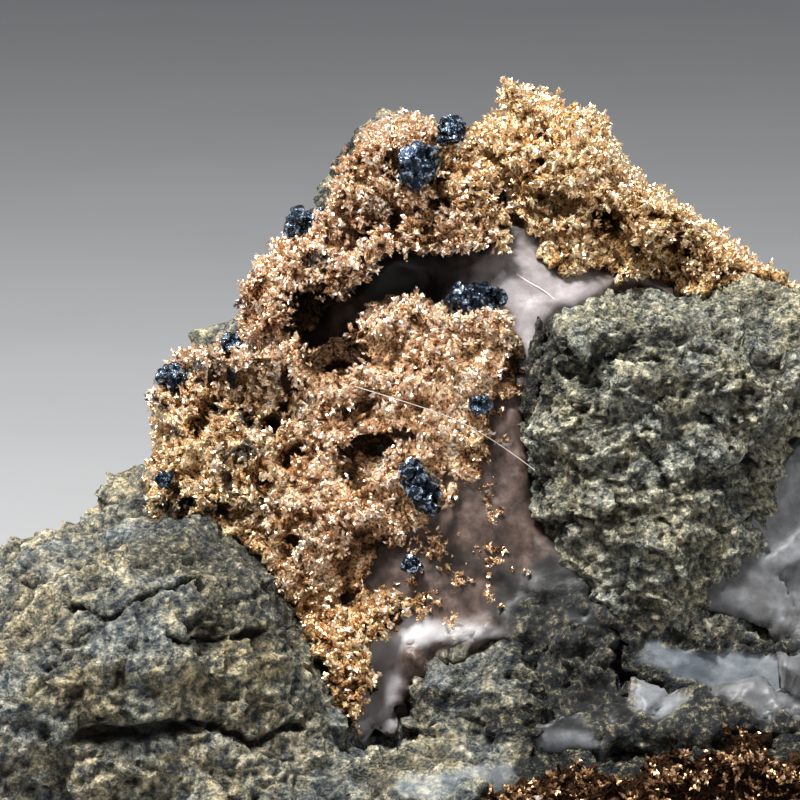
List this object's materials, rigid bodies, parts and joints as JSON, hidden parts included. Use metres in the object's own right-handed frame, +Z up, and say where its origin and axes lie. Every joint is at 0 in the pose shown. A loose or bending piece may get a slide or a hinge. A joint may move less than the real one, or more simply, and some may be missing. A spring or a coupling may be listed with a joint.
{
  "type": "silver on calcite specimen",
  "caption": "Loose hand specimen: mossy native silver and small black ore crystals grown on white calcite between grey-green wall rock, with a flat underside to stand on.",
  "frame": {"origin": "middle of the whole specimen's footprint, on its flat underside", "axes": "+X to the right as the show side is seen, +Y from the show side to the back, +Z up"},
  "size_m": [0.054, 0.0312, 0.0405],
  "materials": {
    "wall_rock": "rough broken grey-green rock with ochre and cream mottling",
    "broken_block": "coarse granular grey-green rock",
    "calcite": "milky translucent calcite, smooth breaks",
    "silver": "bright mossy crystals with a warm tarnish",
    "black_ore": "black metallic crystals"
  },
  "bodies": {
    "root": {"wall_rock": "wall_rock", "broken_block": "broken_block", "calcite": "calcite", "silver_front": "silver", "silver_arch": "silver", "silver_crest": "silver", "silver_tail": "silver", "silver_foot": "silver", "silver_sprig_upper": "silver", "silver_sprig_middle": "silver", "silver_sprig_tall": "silver", "silver_sprig_small": "silver", "silver_sprig_right": "silver", "silver_sprig_low": "silver", "black_cluster_cavity": "black_ore", "black_cluster_centre": "black_ore", "black_cluster_top": "black_ore", "black_cluster_shoulder": "black_ore", "black_cluster_left": "black_ore", "black_cluster_notch": "black_ore", "black_cluster_low": "black_ore", "black_cluster_edge": "black_ore", "black_cluster_rim": "black_ore", "black_cluster_crest": "black_ore"}
  },
  "joints": []
}
